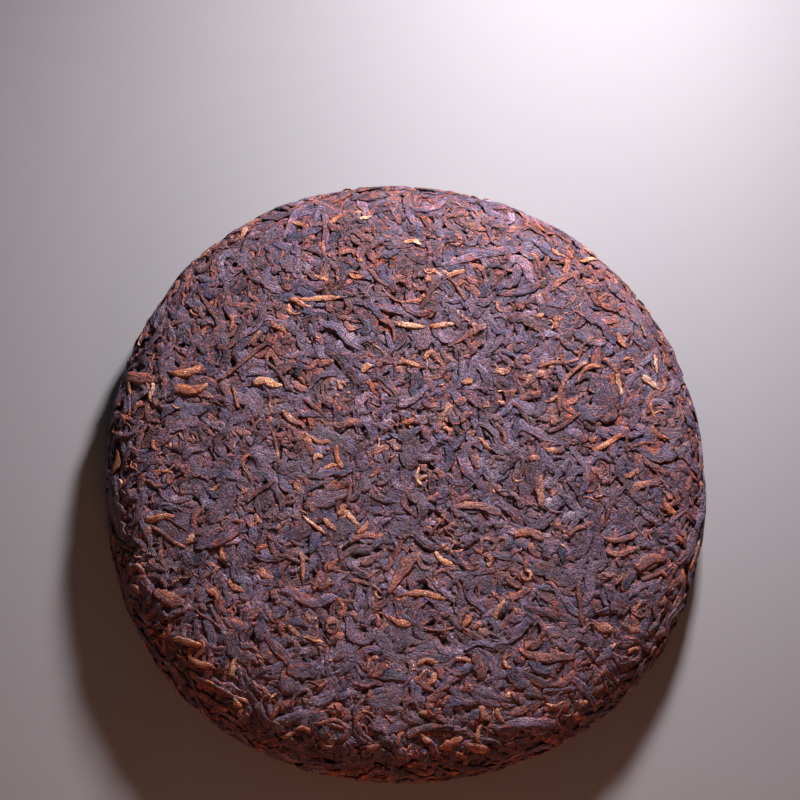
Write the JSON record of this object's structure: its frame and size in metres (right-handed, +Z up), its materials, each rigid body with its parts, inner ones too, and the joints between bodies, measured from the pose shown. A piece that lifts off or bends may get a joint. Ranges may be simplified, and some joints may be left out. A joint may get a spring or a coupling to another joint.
{
  "type": "pu-erh tea cake",
  "caption": "Round cake of ripe pu-erh tea pressed whole from loose leaf: a low domed face, a soft rim, and a knot hollow in the flat underside.",
  "frame": {"origin": "on the resting plane, below the middle of the cake", "axes": "+Z up, out of the shown face; +Y towards the top of the face as it was shown; +X towards its right"},
  "size_m": [0.1894, 0.189, 0.0255],
  "materials": {
    "pressed_ripe_tea": "dry fermented leaf, dark violet brown with rust and ochre tips, faint waxy sheen"
  },
  "bodies": {
    "root": {"tea_cake": "pressed_ripe_tea"}
  },
  "joints": []
}
